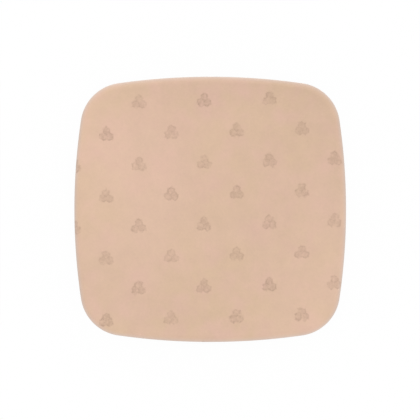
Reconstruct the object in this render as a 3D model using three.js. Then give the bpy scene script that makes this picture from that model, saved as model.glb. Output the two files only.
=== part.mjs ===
// A square foam wound dressing with bowed sides and round corners. It lies as it would be laid on a
// tray: the foam's wound face down, the backing film up. Millimetres, +Z up. The origin is the centre
// of the wound face, X runs across the wider way and Y along the shorter.
//
// Two pieces, bonded face to face: a die-cut foam pad whose top edge is pressed round, and a thin
// film that covers the top and that round edge, and ends at the rim, where the cut foam shows.

import * as THREE from "three";

// Outline, over the film: four shallow arcs joined by four corner arcs, all tangent.
const WIDTH = 101.2; // between the middles of the two sides that face X
const LENGTH = 98.8; // between the middles of the two ends that face Y
const SIDE_BOW_RADIUS = 226; // of the sides that face X
const END_BOW_RADIUS = 243; // of the ends that face Y
const CORNER_RADIUS = 16.3;

// Section
const FOAM_THICKNESS = 4.5;
const RIM_HEIGHT = 3.7; // of the cut foam edge that shows under the film
const EDGE_WIDTH = 2.6; // over which the pressed edge comes down, seen from above
const EDGE_START = THREE.MathUtils.degToRad(10); // along its ellipse, where the rim cuts it off
const FILM_THICKNESS = 0.05;

// Facets
const BOW_STEPS = 14;
const CORNER_STEPS = 14;
const EDGE_STEPS = 7;

const FILM_COLOUR = new THREE.Color().setRGB(0.86, 0.73, 0.64, THREE.SRGBColorSpace);
const FOAM_COLOUR = new THREE.Color().setRGB(0.6, 0.6, 0.58, THREE.SRGBColorSpace);

const HALF_TURN = Math.PI;
const QUARTER_TURN = Math.PI / 2;

// The arcs of the quarter outline where X and Y are positive. A corner arc is tangent to a bow where
// its centre lies the difference of their radii from the bow's centre, so the corner's centre is where
// two circles meet. The angles are those at which the bows hand over to the corner.
function quarterArcs() {
  const side = new THREE.Vector2(WIDTH / 2 - SIDE_BOW_RADIUS, 0);
  const end = new THREE.Vector2(0, LENGTH / 2 - END_BOW_RADIUS);
  const toSide = SIDE_BOW_RADIUS - CORNER_RADIUS;
  const toEnd = END_BOW_RADIUS - CORNER_RADIUS;
  const apart = side.distanceTo(end);
  const along = (toSide ** 2 - toEnd ** 2 + apart ** 2) / (2 * apart);
  const across = Math.sqrt(toSide ** 2 - along ** 2);
  const line = end.clone().sub(side).normalize();
  const square = new THREE.Vector2(-line.y, line.x);
  const corner = side.clone().addScaledVector(line, along).addScaledVector(square, across);
  return {
    side,
    end,
    corner,
    sideAngle: corner.clone().sub(side).angle(),
    endAngle: corner.clone().sub(end).angle(),
  };
}

const QUARTER = quarterArcs();

// The outline moved in by inset, as points that run anticlockwise from the side facing +X. Every inset
// keeps the arcs' centres and their angles, so the points of two outlines pair up.
function outline(inset) {
  const { side, end, corner, sideAngle: a, endAngle: b } = QUARTER;
  const sideRadius = SIDE_BOW_RADIUS - inset;
  const endRadius = END_BOW_RADIUS - inset;
  const cornerRadius = CORNER_RADIUS - inset;
  const half = HALF_TURN;
  const arcs = [
    [side.x, side.y, sideRadius, -a, a, BOW_STEPS],
    [corner.x, corner.y, cornerRadius, a, b, CORNER_STEPS],
    [end.x, end.y, endRadius, b, half - b, BOW_STEPS],
    [-corner.x, corner.y, cornerRadius, half - b, half - a, CORNER_STEPS],
    [-side.x, side.y, sideRadius, half - a, half + a, BOW_STEPS],
    [-corner.x, -corner.y, cornerRadius, half + a, half + b, CORNER_STEPS],
    [end.x, -end.y, endRadius, half + b, 2 * half - b, BOW_STEPS],
    [corner.x, -corner.y, cornerRadius, 2 * half - b, 2 * half - a, CORNER_STEPS],
  ];
  return arcs.flatMap(([x, y, radius, from, to, steps]) =>
    new THREE.ArcCurve(x, y, radius, from, to, false).getPoints(steps).slice(0, -1),
  );
}

// A closed solid through a stack of outlines, each given as [inset, height]. The first one is capped
// facing down and the last one facing up.
function stack(levels) {
  const rings = levels.map(([inset, height]) => ({ points: outline(inset), height }));
  const count = rings[0].points.length;
  const positions = rings.flatMap(({ points, height }) => points.flatMap((p) => [p.x, p.y, height]));
  const cap = THREE.ShapeUtils.triangulateShape(rings[0].points, []);
  const last = (rings.length - 1) * count;
  const index = [];
  for (const [a, b, c] of cap) {
    index.push(a, c, b);
    index.push(last + a, last + b, last + c);
  }
  for (let ring = 0; ring < rings.length - 1; ring++) {
    const low = ring * count;
    const high = low + count;
    for (let i = 0; i < count; i++) {
      const next = (i + 1) % count;
      index.push(low + i, low + next, high + next);
      index.push(low + i, high + next, high + i);
    }
  }
  const geometry = new THREE.BufferGeometry();
  geometry.setAttribute("position", new THREE.Float32BufferAttribute(positions, 3));
  geometry.setIndex(index);
  geometry.computeVertexNormals();
  return geometry;
}

// The pressed edge's section, from the rim up to the flat top: a quarter ellipse without its steep
// start. Outer is how far the surface lies outside the foam: nothing on the foam, the film's thickness
// on the film's face.
function pressedEdge(outer) {
  const across = EDGE_WIDTH + outer;
  const up = FOAM_THICKNESS - RIM_HEIGHT + outer;
  const levels = [];
  for (let step = 0; step <= EDGE_STEPS; step++) {
    const turn = THREE.MathUtils.lerp(EDGE_START, QUARTER_TURN, step / EDGE_STEPS);
    const inwards = 1 - Math.cos(turn) / Math.cos(EDGE_START);
    const upwards = (Math.sin(turn) - Math.sin(EDGE_START)) / (1 - Math.sin(EDGE_START));
    levels.push([FILM_THICKNESS - outer + across * inwards, RIM_HEIGHT + up * upwards]);
  }
  return levels;
}

function piece(name, geometry, colour, roughness) {
  const material = new THREE.MeshStandardMaterial({ color: colour, roughness, metalness: 0 });
  const mesh = new THREE.Mesh(geometry, material);
  mesh.name = name;
  return mesh;
}

function foamPad() {
  const levels = [[FILM_THICKNESS, 0], ...pressedEdge(0)];
  return piece("foam_pad", stack(levels), FOAM_COLOUR, 0.95);
}

// The film's underside is the foam's own top and edge, taken from the top down.
function backingFilm() {
  const levels = [...pressedEdge(0).reverse(), ...pressedEdge(FILM_THICKNESS)];
  return piece("backing_film", stack(levels), FILM_COLOUR, 0.6);
}

const dressing = new THREE.Group();
dressing.add(foamPad(), backingFilm());

export default dressing;
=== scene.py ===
import math

import bpy
import numpy as np
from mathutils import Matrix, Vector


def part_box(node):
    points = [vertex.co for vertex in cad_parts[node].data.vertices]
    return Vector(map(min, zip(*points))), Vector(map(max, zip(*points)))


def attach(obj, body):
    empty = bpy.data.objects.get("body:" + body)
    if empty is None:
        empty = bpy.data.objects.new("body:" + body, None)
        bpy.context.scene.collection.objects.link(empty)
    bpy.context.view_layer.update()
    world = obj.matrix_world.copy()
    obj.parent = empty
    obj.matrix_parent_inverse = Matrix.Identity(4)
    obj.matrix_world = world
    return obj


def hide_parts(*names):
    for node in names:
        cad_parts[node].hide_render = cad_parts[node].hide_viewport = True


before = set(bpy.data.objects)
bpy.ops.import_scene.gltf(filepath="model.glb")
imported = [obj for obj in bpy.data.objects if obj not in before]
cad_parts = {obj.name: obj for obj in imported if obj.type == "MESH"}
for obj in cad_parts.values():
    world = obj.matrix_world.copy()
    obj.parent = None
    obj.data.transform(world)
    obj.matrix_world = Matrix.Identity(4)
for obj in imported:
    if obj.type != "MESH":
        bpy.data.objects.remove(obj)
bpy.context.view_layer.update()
filmLow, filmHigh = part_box("backing_film")
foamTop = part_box("foam_pad")[1][2]
filmThick = filmHigh[2] - foamTop
rimHeight = filmLow[2]
mm = 0.001
print("frame loaded, film", round(filmThick / mm, 3), "mm thick")

# the cut line and the pressed edge; the overall sizes come from the frame
cut = {
    "sideBow": 226 * mm,  # radius of the sides that face X
    "endBow": 243 * mm,  # radius of the ends that face Y
    "corner": 16.3 * mm,
    "edgeWidth": 2.6 * mm,  # over which the pressed edge comes down, seen from above
    "edgeStart": math.radians(10),  # along its ellipse, where the rim cuts it off
}


def cornerSweeps():
    # The corner arc touches both bows, so its centre is where two circles meet: one about each bow's
    # centre, with that bow's radius less the corner's. Returns half the angle that each bow covers.
    side = np.array([filmHigh[0] - cut["sideBow"], 0])
    end = np.array([0, filmHigh[1] - cut["endBow"]])
    toSide = cut["sideBow"] - cut["corner"]
    toEnd = cut["endBow"] - cut["corner"]
    apart = np.hypot(*(end - side))
    line = (end - side) / apart
    along = (toSide**2 - toEnd**2 + apart**2) / (2 * apart)
    across = math.sqrt(toSide**2 - along**2)
    corner = side + along * line + across * np.array([-line[1], line[0]])
    sideX, sideY = corner - side
    endX, endY = corner - end
    return math.atan2(sideY, sideX), math.atan2(endX, endY)


def outline(perSide):
    # Points of the cut line and their outward normals, anticlockwise from the lower right corner.
    # A side is half a corner arc, a bow and half a corner arc, walked in even steps of arc length:
    # point = arc centre + radius * (cos angle, sin angle), then turned a quarter for each next side.
    sideSweep, endSweep = cornerSweeps()
    corner = cut["corner"]
    halfCorner = (math.pi / 2 - sideSweep - endSweep) / 2
    sides = ((filmHigh[0], cut["sideBow"], sideSweep), (filmHigh[1], cut["endBow"], endSweep)) * 2
    points, normals = [], []
    for quarter, (reach, bow, sweep) in enumerate(sides):
        bowLength = bow * sweep
        full = bowLength + corner * halfCorner
        walked = np.linspace(-full, full, perSide, endpoint=False)
        past = np.abs(walked) - bowLength
        onBow = past <= 0
        angle = np.where(onBow, walked / bow, np.sign(walked) * (sweep + past / corner))
        radius = np.where(onBow, bow, corner)
        moved = bow - radius
        centre = np.stack(
            [reach - bow + moved * math.cos(sweep), np.sign(walked) * moved * math.sin(sweep)], 1
        )
        normal = np.stack([np.cos(angle), np.sin(angle)], 1)
        turn = quarter * math.pi / 2
        spin = np.array([[math.cos(turn), math.sin(turn)], [-math.sin(turn), math.cos(turn)]])
        points.append((centre + radius[:, None] * normal) @ spin)
        normals.append(normal @ spin)
    return np.concatenate(points), np.concatenate(normals)


def ring(line, inset, height):
    # The cut line moved in along its normals by inset, at that height.
    points, normals = line
    flat = points - normals * np.reshape(inset, (-1, 1))
    return np.column_stack([flat, np.broadcast_to(height, len(flat))])


def pressedEdge(outer, steps):
    # Inset and height from the flat top down to the rim: a quarter ellipse without its steep start,
    # as far outside the foam as outer says.
    start = cut["edgeStart"]
    turn = np.linspace(math.pi / 2, start, steps + 1)
    inwards = 1 - np.cos(turn) / math.cos(start)
    upwards = (np.sin(turn) - math.sin(start)) / (1 - math.sin(start))
    inset = filmThick - outer + (cut["edgeWidth"] + outer) * inwards
    height = rimHeight + (foamTop - rimHeight + outer) * upwards
    return inset, height


def patch(border, perSide):
    # Fills a closed line of four times perSide points with a grid: the blends between opposite sides
    # are added and the blend of the four corners is taken away. Rows run along X, the lowest first.
    last = 4 * perSide
    right = border[: perSide + 1]
    top = border[perSide : 2 * perSide + 1][::-1]
    left = border[2 * perSide : 3 * perSide + 1][::-1]
    bottom = border[np.arange(3 * perSide, last + 1) % last]
    u = np.linspace(0, 1, perSide + 1)[None, :, None]
    v = np.linspace(0, 1, perSide + 1)[:, None, None]
    between = (1 - v) * bottom[None] + v * top[None] + (1 - u) * left[:, None] + u * right[:, None]
    lower = (1 - u) * bottom[0] + u * bottom[-1]
    upper = (1 - u) * top[0] + u * top[-1]
    return between - (1 - v) * lower - v * upper


def patchNumbers(perSide):
    # the numbers of a patch's points, as a square with the lowest row first
    return np.arange((perSide + 1) ** 2).reshape(perSide + 1, perSide + 1)


def patchFaces(perSide):
    # each cell's four points, anticlockwise seen from above
    n = patchNumbers(perSide)
    corners = (n[:-1, :-1], n[:-1, 1:], n[1:, 1:], n[1:, :-1])
    return np.stack([c.ravel() for c in corners], 1)


def patchBorder(perSide):
    # the patch's own border points, in the order of the line that it was filled from
    n = patchNumbers(perSide)
    return np.concatenate([n[:-1, -1], n[-1, :0:-1], n[:0:-1, 0], n[0, :-1]])


def strip(lower, upper):
    # Faces between two closed lines of points. They face out when both lines run anticlockwise.
    return np.stack([lower, np.roll(lower, -1), np.roll(upper, -1), upper], 1)


def makePiece(name, points, faces, finish):
    # a smooth-shaded object with one material, whose place is in its mesh
    mesh = bpy.data.meshes.new(name)
    mesh.from_pydata(points.tolist(), [], faces)
    mesh.polygons.foreach_set("use_smooth", np.ones(len(mesh.polygons), bool))
    mesh.materials.append(finish)
    mesh.update()
    piece = bpy.data.objects.new(name, mesh)
    bpy.context.collection.objects.link(piece)
    return piece


class Wire:
    # One output of a node. Sums and products of wires and numbers add their own Math nodes.
    def __init__(self, finish, socket):
        self.finish = finish
        self.socket = socket

    def calc(self, operation, *terms, clamp=False):
        settings = {"operation": operation, "use_clamp": clamp}
        return self.finish.node("Math", settings, dict(enumerate(terms)))

    def __add__(self, other):
        return self.calc("ADD", self, other)

    def __radd__(self, other):
        return self.calc("ADD", other, self)

    def __sub__(self, other):
        return self.calc("SUBTRACT", self, other)

    def __rsub__(self, other):
        return self.calc("SUBTRACT", other, self)

    def __mul__(self, other):
        return self.calc("MULTIPLY", self, other)

    def __rmul__(self, other):
        return self.calc("MULTIPLY", other, self)

    def __abs__(self):
        return self.calc("ABSOLUTE", self)

    def whole(self):
        return self.calc("ROUND", self)

    def odd(self):
        return self.calc("PINGPONG", self, 1)

    def clamped(self):
        return self.calc("ADD", self, 0, clamp=True)

    def ramped(self, times, less):
        # the value times a number, less another, kept between 0 and 1
        return (self * times - less).clamped()

    def between(self, start, full):
        # 0 up to the start, 1 from the full value on, and an even rise between them
        return ((self - start) * (1 / (full - start))).clamped()

    def least(self, other):
        return self.calc("MINIMUM", self, other)

    def most(self, other):
        return self.calc("MAXIMUM", self, other)


class Finish:
    # A node tree. node() adds a node of any type: its settings first, then its inputs' values or
    # wires, by name or number.
    def __init__(self, tree):
        self.tree = tree
        tree.nodes.clear()

    def node(self, kind, settings, inputs, output=0):
        made = self.tree.nodes.new("ShaderNode" + kind)
        for key, value in settings.items():
            setattr(made, key, value)
        for key, value in inputs.items():
            if isinstance(value, Wire):
                self.tree.links.new(value.socket, made.inputs[key])
            else:
                made.inputs[key].default_value = value
        return Wire(self, made.outputs[output]) if made.outputs else made

    def place(self):
        # where a point lies on the object, in millimetres
        spot = self.node("TexCoord", {}, {}, "Object")
        return self.node("VectorMath", {"operation": "SCALE"}, {"Vector": spot, "Scale": 1 / mm})

    def part(self, vector, letter):
        return self.node("SeparateXYZ", {}, {"Vector": vector}, letter)

    def cloud(self, place, size, detail, seed):
        # Soft noise around 0.5, with lumps of about that size in millimetres. The scale also shrinks
        # W, so the seed is stretched by the size: each whole seed then gives noise of its own.
        inputs = {"Vector": place, "W": (seed + 0.5) * size, "Scale": 1 / size, "Detail": detail}
        return self.node("TexNoise", {"noise_dimensions": "4D"}, inputs)

    def blend(self, factor, first, second, kind="MIX"):
        settings = {"data_type": "RGBA", "blend_type": kind}
        return self.node("Mix", settings, {0: factor, 6: first, 7: second}, 2)

    def seen(self):
        # 1 for the rays that show a surface: to the camera, in a mirror or through glass. Light
        # that is passed on otherwise gives 0.
        kinds = ("Is Camera Ray", "Is Glossy Ray", "Is Transmission Ray")
        straight, mirrored, through = (self.node("LightPath", {}, {}, kind) for kind in kinds)
        return straight.most(mirrored).most(through)


def newFinish(name):
    # an empty material, and its node tree to build the finish in
    material = bpy.data.materials.new(name)
    material.use_nodes = True
    return material, Finish(material.node_tree)


def srgb(red, green, blue):
    # a colour as a screen shows it, 0 to 255, as the linear one that Blender mixes, by the
    # standard curve for screens
    shares = np.array([red, green, blue]) / 255
    linear = np.where(shares <= 0.04045, shares / 12.92, ((shares + 0.055) / 1.055) ** 2.4)
    return (*linear.tolist(), 1)


# the printed repeat: rows of marks, each next row moved half a step. Millimetres from the middle.
printed = {
    "first": (-2.30, -5.69),  # the mark that the others are counted from
    "step": (12.125, 0.345),  # half the way from a mark to the next one in its row
    "rise": (0.02, 11.525),  # from a row to the next one
    "cell": 1.14,  # from the middle of a printed cell to its wall
    "line": 0.5,  # width of a printed line
    "bleed": 0.7,  # over which the ink fades at a line's edge
    "unevenness": 1.5,  # how far the lines stray, from side to side
    "strayLump": 1.3,  # size of the noise that they stray by
    "straySeeds": (3, 4),  # along X and along Y
    "haze": 0.52,  # ink between the lines
    "ink": srgb(180, 150, 130),
    "strength": (0.66, 0.94),  # of the faintest and the darkest mark
    "missing": (4, 4),  # half steps and rows from the first mark to the one that didn't print
    "speckle": (1.0, 2, 8),  # noise in the ink: size, detail and seed
    "speckleRamp": (2.6, 0.6),  # the noise times the first number, less the second
}

filmLook = {
    "perSide": 128,
    "edgeSteps": 14,
    "waveHeight": 0.12 * mm,
    "waveLengths": (15 * mm, 36 * mm),
    "waves": 7,
    "seed": 4,
    "colour": srgb(222, 189, 166),
    "warm": srgb(224, 188, 168),
    "sallow": srgb(220, 189, 161),
    "pressed": srgb(211, 189, 175),  # over the edge, greyer than the flat top: partly grey foam through the stretched film, partly painted sheen
    "pressedReach": (0.08, 0.55),  # millimetres below the flat top, where it starts and is full
    # painted light and shade over the whole film, from x and y that run from -1 to 1
    "across": 0.03,  # painted light: how much lighter it is at the left than in the middle
    "corners": 0.052,  # painted light: how much lighter at the upper left and lower right corners
    "ends": 0.04,  # painted shade and light: how much darker at the upper corners and lighter at the lower ones
    "band": 0.023,  # painted shade: how much darker along the upper edge
    "paintedBandReach": (0.7, 0.9),  # where it starts and is full, as shares of the half length
    # noise in the tone: size in millimetres, detail and seed, and how much each changes the shade
    "broad": (48, 1, 61),
    "blotch": (5, 3, 2),
    "grain": (0.8, 3, 5),
    "shadeShares": {"broad": 0.12, "blotch": 0.11, "grain": 0.1},
    # where the warm and the sallow colour lie: noise, times a number, less another
    "warmPatches": (9, 4, 6),
    "warmRamp": (4, 1.7),
    "sallowPatches": (32, 5, 71),
    "sallowRamp": (4, 1.5),
    # the bump: cells of a width in millimetres, finer noise, and the blotches
    "bumpCell": 0.6,
    "bumpNoise": (0.3, 1, 7),
    "bumpShares": {"cells": 0.6, "noise": 0.4, "blotch": 1.5},
    "bumpStrength": 0.45,
    "bumpDepth": 0.05 * mm,
    "roughness": 0.8,
    "roughnessShares": {"blotch": 0.2, "grain": 0.1},
    "specular": 0.2,
}


def printMask(m, place):
    # How much ink lies at a point. The nearest mark comes from the point's own count of steps and
    # rows. A mark is three hexagonal cells in a cluster, drawn as lines: a hexagon's distance is the
    # largest of its distances to three pairs of walls, and the ink is where that is near zero.
    stepX, stepY = printed["step"]
    riseX, riseY = printed["rise"]
    area = stepX * riseY - stepY * riseX
    strayX, strayY = (
        (m.cloud(place, printed["strayLump"], 1, seed) - 0.5) * printed["unevenness"]
        for seed in printed["straySeeds"]
    )
    x = m.part(place, "X") - printed["first"][0] + strayX
    y = m.part(place, "Y") - printed["first"][1] + strayY
    steps = x * (riseY / area) - y * (riseX / area)
    rows = y * (stepX / area) - x * (stepY / area)
    row = rows.whole()
    inRow = steps - row.odd()
    column = (inRow * 0.5).whole() * 2
    overSteps = inRow - column
    overRows = rows - row
    markX = overSteps * stepX + overRows * riseX
    markY = overSteps * stepY + overRows * riseY

    cell = printed["cell"]
    low = -cell / math.sqrt(3)
    lines = inside = None
    for middleX, middleY in ((-cell, low), (cell, low), (0, -2 * low)):
        across = abs(markX - middleX)
        up = abs(markY - middleY)
        wall = across.most(across * 0.5 + up * (math.sqrt(3) / 2))
        away = abs(wall - cell)
        lines = away if lines is None else lines.least(away)
        inside = wall if inside is None else inside.least(wall)
    edge = (printed["line"] / 2 - lines) * (1 / printed["bleed"]) + 0.5
    haze = (cell - inside) * (1 / printed["bleed"]) + 0.5
    ink = edge.clamped().most(haze.clamped() * printed["haze"])

    half = column + row.odd()
    mark = m.node("CombineXYZ", {}, {"X": half, "Y": row, "Z": 0})
    chance = m.node("TexWhiteNoise", {"noise_dimensions": "3D"}, {"Vector": mark})
    faint, dark = printed["strength"]
    strength = faint + chance * (dark - faint)
    missingHalf, missingRow = printed["missing"]
    printedHere = abs(half - missingHalf).most(abs(row - missingRow)).least(1)
    speckle = m.cloud(place, *printed["speckle"]).ramped(*printed["speckleRamp"])
    return ink * strength * printedHere * speckle


def flatPlace(m):
    # where a point lay on the film before it was pressed, in millimetres from its middle
    spot = m.node("UVMap", {"uv_map": "flatFilm"}, {})
    spread = [length / mm for length in flatSize]
    wide = m.node("VectorMath", {"operation": "MULTIPLY"}, {0: spot, 1: (*spread, 1)})
    half = (spread[0] / 2, spread[1] / 2, 0)
    return m.node("VectorMath", {"operation": "SUBTRACT"}, {0: wide, 1: half})


def filmFinish():
    # The film's colour carries painted light and shade that change slowly, with x and y from -1 to
    # 1:
    # a share of x, a share of x times y, and a share of y times (y squared + half of x squared - a
    # half).
    # A band of painted shade along the upper edge is darker still.
    material, m = newFinish("printedFilm")
    place = m.place()
    flat = flatPlace(m)
    x = m.part(flat, "X") * (mm / filmHigh[0])
    y = m.part(flat, "Y") * (mm / filmHigh[1])
    # painted light and shade, taken away from the shade of the colour below
    paintedShade = x * filmLook["across"] + x * y * filmLook["corners"]
    paintedShade = paintedShade + y * (y * y + x * x * 0.5 - 0.5) * filmLook["ends"]
    paintedShade = paintedShade + y.between(*filmLook["paintedBandReach"]) * filmLook["band"]
    broad = m.cloud(place, *filmLook["broad"]) - 0.5
    blotch = m.cloud(place, *filmLook["blotch"]) - 0.5
    grain = m.cloud(place, *filmLook["grain"]) - 0.5
    share = filmLook["shadeShares"]
    shade = 1 - paintedShade + broad * share["broad"] + blotch * share["blotch"] + grain * share["grain"]
    warmth = m.cloud(place, *filmLook["warmPatches"]).ramped(*filmLook["warmRamp"])
    sallowness = m.cloud(place, *filmLook["sallowPatches"]).ramped(*filmLook["sallowRamp"])
    colour = m.blend(sallowness, filmLook["colour"], filmLook["sallow"])
    colour = m.blend(warmth, colour, filmLook["warm"])
    # the pressed edge turns greyer: partly grey foam through the stretched film, partly painted
    # sheen
    down = filmHigh[2] / mm - m.part(place, "Z")
    colour = m.blend(down.between(*filmLook["pressedReach"]), colour, filmLook["pressed"])
    colour = m.blend(1, colour, shade, "MULTIPLY")
    colour = m.blend(printMask(m, flat), colour, printed["ink"])
    cellPlace = {"Vector": place, "Scale": 1 / filmLook["bumpCell"]}
    cells = m.node("TexVoronoi", {"feature": "SMOOTH_F1"}, cellPlace)
    noise = m.cloud(place, *filmLook["bumpNoise"])
    share = filmLook["bumpShares"]
    height = cells * share["cells"] + noise * share["noise"] + blotch * share["blotch"]
    depth = {"Strength": filmLook["bumpStrength"], "Distance": filmLook["bumpDepth"]}
    bump = m.node("Bump", {}, {**depth, "Height": height})
    share = filmLook["roughnessShares"]
    inputs = {
        "Base Color": colour,
        "Roughness": filmLook["roughness"] + blotch * share["blotch"] + grain * share["grain"],
        "Specular IOR Level": filmLook["specular"],
        "Normal": bump,
    }
    m.node("OutputMaterial", {}, {"Surface": m.node("BsdfPrincipled", {}, inputs)})
    return material


def filmWaves(points, perSide):
    # Slack over the foam: the mean of a few sine waves in different directions, brought to between
    # 0 and 1, times the wave height. It dies out towards the border as 1 - distance to the sixth.
    chance = np.random.default_rng(filmLook["seed"])
    count = filmLook["waves"]
    heading = chance.uniform(0, 2 * math.pi, count)
    length = chance.uniform(*filmLook["waveLengths"], count)
    phase = chance.uniform(0, 2 * math.pi, count)
    along = points[..., 0, None] * np.cos(heading) + points[..., 1, None] * np.sin(heading)
    wave = 0.5 + 0.5 * np.sin(2 * math.pi * along / length + phase).mean(-1)
    side = np.linspace(-1, 1, perSide + 1)
    calm = 1 - side**6
    return filmLook["waveHeight"] * wave * calm[None, :] * calm[:, None]


def flatFilm():
    # The film before it was pressed over the edge: how far each level of the edge lay outside the
    # flat top, which is the edge's arc length down to it, and the film's size and area. The area is
    # the outline's, by the shoelace sum, and a band along the perimeter.
    insets, heights = pressedEdge(filmThick, filmLook["edgeSteps"])
    steps = np.hypot(np.diff(insets), np.diff(heights))
    down = np.concatenate([[0], np.cumsum(steps)])
    spare = down[-1] - (insets[0] - insets[-1])
    points = outline(filmLook["perSide"])[0]
    following = np.roll(points, -1, 0)
    area = (points[:, 0] * following[:, 1] - points[:, 1] * following[:, 0]).sum() / 2
    perimeter = np.hypot(*(following - points).T).sum()
    size = (2 * (filmHigh[0] + spare), 2 * (filmHigh[1] + spare))
    return down, size, area + perimeter * spare


edgeDown, flatSize, flatArea = flatFilm()
print("film before pressing", [round(length / mm, 1) for length in flatSize], "mm")


def keepFlatPlaces(piece, places):
    # a map of where each point lay on the flat film, from 0 to 1 along its width and its length
    corners = np.empty(len(piece.data.loops), np.int32)
    piece.data.loops.foreach_get("vertex_index", corners)
    flat = 0.5 + places[corners] / flatSize
    layer = piece.data.uv_layers.new(name="flatFilm")
    layer.uv.foreach_set("vector", flat.astype(np.float32).ravel())


def makeFilm():
    # The flat top is a patch with its waves, and each level of the pressed edge is a ring below it.
    # A point of a ring lay as far outside the flat top as the edge's arc is long down to it.
    perSide = filmLook["perSide"]
    line = outline(perSide)
    insets, heights = pressedEdge(filmThick, filmLook["edgeSteps"])
    top = patch(ring(line, insets[0], heights[0]), perSide)
    places = [top[..., :2].reshape(-1, 2)]
    top[..., 2] += filmWaves(top, perSide)
    points = [top.reshape(-1, 3)]
    faces = [patchFaces(perSide)]
    upper = patchBorder(perSide)
    start = len(points[0])
    for inset, height, down in zip(insets[1:], heights[1:], edgeDown[1:]):
        points.append(ring(line, inset, height))
        places.append(ring(line, insets[0] - down, 0)[:, :2])
        lower = np.arange(start, start + 4 * perSide)
        faces.append(strip(lower, upper))
        upper = lower
        start += 4 * perSide
    film = makePiece(
        "printedFilm", np.concatenate(points), np.concatenate(faces).tolist(), filmFinish()
    )
    keepFlatPlaces(film, np.concatenate(places))
    wall = film.modifiers.new("wall", "SOLIDIFY")
    wall.thickness = filmThick
    wall.offset = -1
    return film


padLook = {
    "perSide": 360,
    "rimRows": 12,
    "edgeSteps": 6,
    "clearance": 0.01 * mm,  # to the film
    "poreDepth": 0.25 * mm,
    "seed": 12,
    "poreMix": (0.6, 0.1),  # how much of a pit is its own, and how much each neighbour's
    "poreReach": (-0.3, 2.0),  # where a pit starts and is full, in standard deviations
    "cells": ((0.62, 0.16), (0.3, 0.09)),  # size and wall of the large and the small ones, in mm
    "colour": srgb(163, 162, 158),
    # painted shade in the open cells: the colour deep in a cell
    "paintedPoreShade": srgb(84, 83, 82),
    "smallDepth": 0.8,  # of the small cells, where the large ones have 1
    "bendScale": 2.5,  # lumps per millimetre of the noise that bends the walls
    "bend": 0.3,  # how far it bends them, in millimetres
    "patches": (7, 2, 1),  # noise in the tone: size in millimetres, detail and seed
    "patchShare": 0.12,
    "bumpStrength": 0.9,
    "bumpDepth": 0.2 * mm,
    "roughness": 0.95,
    "specular": 0.2,
}


def pores(rows, columns, chance):
    # Pits from 0 to 1 on a grid: random numbers, each mixed with its neighbours', of which only the
    # upper part counts, so that flat walls stay between the pits.
    raw = chance.random((rows, columns))
    near = sum(np.roll(raw, shift, axis) for axis in (0, 1) for shift in (-1, 1))
    own, each = padLook["poreMix"]
    mixed = raw * own + near * each
    mixed = (mixed - mixed.mean()) / mixed.std()
    start, full = padLook["poreReach"]
    return np.clip((mixed - start) / (full - start), 0, 1)


def cellDepth(m, place, size, wall):
    # How deep a point lies in its cell, from 0 on the wall to 1: its distance to the cell's border
    # over the wall's width, times a number drawn for that cell.
    inputs = {"Vector": place, "Scale": 1 / size}
    away = m.node("TexVoronoi", {"feature": "DISTANCE_TO_EDGE"}, inputs, "Distance")
    drawn = m.node("TexVoronoi", {"feature": "F1"}, inputs, "Color")
    return (away * (size / wall)).clamped() * m.part(drawn, "X")


def foamFinish():
    # The place is bent a little by noise first, so that no cell wall is quite straight.
    material, m = newFinish("greyFoam")
    place = m.place()
    bend = m.node("TexNoise", {}, {"Vector": place, "Scale": padLook["bendScale"]}, "Color")
    bend = m.node("VectorMath", {"operation": "SCALE"}, {"Vector": bend, "Scale": padLook["bend"]})
    bent = m.node("VectorMath", {"operation": "ADD"}, {0: place, 1: bend})
    large, small = (cellDepth(m, bent, size, wall) for size, wall in padLook["cells"])
    depth = large.most(small * padLook["smallDepth"])
    shade = 1 + (m.cloud(place, *padLook["patches"]) - 0.5) * padLook["patchShare"]
    # painted shade: the deeper a point lies in its cell, the darker the foam
    colour = m.blend(depth, padLook["colour"], padLook["paintedPoreShade"])
    colour = m.blend(1, colour, shade, "MULTIPLY")
    relief = {"Strength": padLook["bumpStrength"], "Distance": padLook["bumpDepth"]}
    bump = m.node("Bump", {}, {**relief, "Height": 1 - depth})
    inputs = {
        "Base Color": colour,
        "Roughness": padLook["roughness"],
        "Specular IOR Level": padLook["specular"],
        "Normal": bump,
    }
    m.node("OutputMaterial", {}, {"Surface": m.node("BsdfPrincipled", {}, inputs)})
    return material


def makePad():
    # The wound face is a patch with its pits going up into the foam. The rim's rows have pits going
    # in, all but the uppermost, and the pressed edge and the flat top follow the film.
    perSide = padLook["perSide"]
    around = 4 * perSide
    rimRows = padLook["rimRows"]
    line = outline(perSide)
    chance = np.random.default_rng(padLook["seed"])
    inset = filmThick + padLook["clearance"]
    face = patch(ring(line, inset, 0), perSide)
    pits = pores(perSide + 1, perSide + 1, chance)
    pits[[0, -1], :] = 0
    pits[:, [0, -1]] = 0
    face[..., 2] = padLook["poreDepth"] * pits
    points = [face.reshape(-1, 3)]
    faces = [patchFaces(perSide)[:, ::-1]]
    rimPits = pores(rimRows, around, chance) * padLook["poreDepth"]
    rimPits[-1] = 0
    rings = [
        ring(line, inset + rimPits[row], rimHeight * (row + 1) / rimRows) for row in range(rimRows)
    ]
    insets, heights = pressedEdge(-padLook["clearance"], padLook["edgeSteps"])
    rings += [ring(line, *level) for level in zip(insets[-2::-1], heights[-2::-1])]
    lower = patchBorder(perSide)
    start = len(points[0])
    for level in rings:
        points.append(level)
        upper = np.arange(start, start + around)
        faces.append(strip(lower, upper))
        lower = upper
        start += around
    allFaces = np.concatenate(faces).tolist() + [lower.tolist()]
    return makePiece("foamPad", np.concatenate(points), allFaces, foamFinish())


film = makeFilm()
print("film made,", len(film.data.polygons), "faces on its outside")
pad = makePad()
print("foam made,", len(pad.data.polygons), "faces")

for piece, node, slot in ((film, "backing_film", "film"), (pad, "foam_pad", "foam")):
    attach(piece, "root")
    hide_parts(node)

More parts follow.
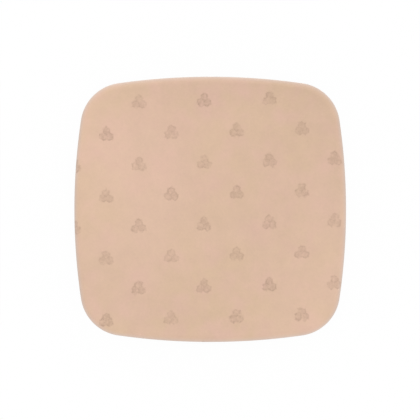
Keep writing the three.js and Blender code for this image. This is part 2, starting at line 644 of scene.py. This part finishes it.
# the studio: a pale floor, a pale surround and four soft lamps close to the floor
studio = {
    "floorSize": 3,
    "floorColour": srgb(246, 246, 246),
    "floorWhite": 0.92,  # how far the camera sees the floor as plain white, near the dressing
    "shadowReach": 0.09,  # from the middle to where it is all plain white
    "surround": 0.89,  # strength of the light from all round
    "lampAway": 1.0,
    "lampRise": math.radians(6),  # above the floor
    "lampSize": 0.2,
    # heading in degrees from +X, and watts
    "lamps": {"back": (80, 4.5), "front": (266, 1.4), "left": (180, 0.9), "right": (0, 1.3)},
}


def makeFloor():
    # The camera sees the floor partly as plain white, more so away from the dressing, and the rest
    # of it shows the shadow. For all other light it is a matt floor.
    half = studio["floorSize"] / 2
    points = np.array([[-half, -half, 0], [half, -half, 0], [half, half, 0], [-half, half, 0]])
    material, m = newFinish("paleFloor")
    away = m.node("VectorMath", {"operation": "LENGTH"}, {"Vector": m.place()}, "Value")
    far = (away * (mm / studio["shadowReach"])).clamped()
    white = studio["floorWhite"] + far * (1 - studio["floorWhite"])
    lit = m.node("BsdfDiffuse", {}, {"Color": studio["floorColour"]})
    plain = m.node("Emission", {}, {"Color": (1, 1, 1, 1), "Strength": 1})
    both = m.node("MixShader", {}, {0: m.seen() * white, 1: lit, 2: plain})
    m.node("OutputMaterial", {}, {"Surface": both})
    return makePiece("floor", points, [[0, 1, 2, 3]], material)


def makeSurround():
    # plain white to the camera, and a little less as a light
    world = bpy.data.worlds.new("surround")
    bpy.context.scene.world = world
    world.use_nodes = True
    m = Finish(world.node_tree)
    level = studio["surround"] + m.seen() * (1 - studio["surround"])
    light = m.node("Background", {}, {"Color": (1, 1, 1, 1), "Strength": level})
    m.node("OutputWorld", {}, {"Surface": light})


def makeLamp(name, heading, watts):
    # a square lamp that faces the origin, at a distance from it and a rise above the floor
    lamp = bpy.data.lights.new(name, "AREA")
    lamp.energy = watts
    lamp.size = studio["lampSize"]
    holder = bpy.data.objects.new(name, lamp)
    bpy.context.collection.objects.link(holder)
    level = studio["lampAway"] * math.cos(studio["lampRise"])
    holder.location = (
        level * math.cos(math.radians(heading)),
        level * math.sin(math.radians(heading)),
        studio["lampAway"] * math.sin(studio["lampRise"]),
    )
    holder.rotation_euler = (math.pi / 2 - studio["lampRise"], 0, math.radians(heading + 90))
    holder.visible_camera = False


makeFloor()
makeSurround()
for name, (heading, watts) in studio["lamps"].items():
    makeLamp(name, heading, watts)
print("studio set")

# the picture: the dressing's width and where its middle lies, in the photo's pixels
picture = {
    "side": 420,
    "dressingWide": 271.7,
    "middle": (210.23, 209.33),
    "lens": 85,  # in millimetres, as the sensor's width is
    "sensor": 36,
    "nearest": 0.01,  # what is nearer to the camera isn't drawn
}


def makeCamera():
    # Looks straight down, from as far as gives the dressing its width in the picture, and to the
    # side by as much as the dressing is off the picture's middle.
    pixel = 2 * filmHigh[0] / picture["dressingWide"]
    camera = bpy.data.cameras.new("camera")
    camera.lens = picture["lens"]
    camera.sensor_width = picture["sensor"]
    camera.clip_start = picture["nearest"]
    holder = bpy.data.objects.new("camera", camera)
    bpy.context.collection.objects.link(holder)
    right, down = (middle - picture["side"] / 2 for middle in picture["middle"])
    away = picture["side"] * pixel * picture["lens"] / picture["sensor"]
    holder.location = (-right * pixel, down * pixel, rimHeight + away)
    bpy.context.scene.camera = holder


makeCamera()
bpy.context.scene.view_settings.view_transform = "Standard"
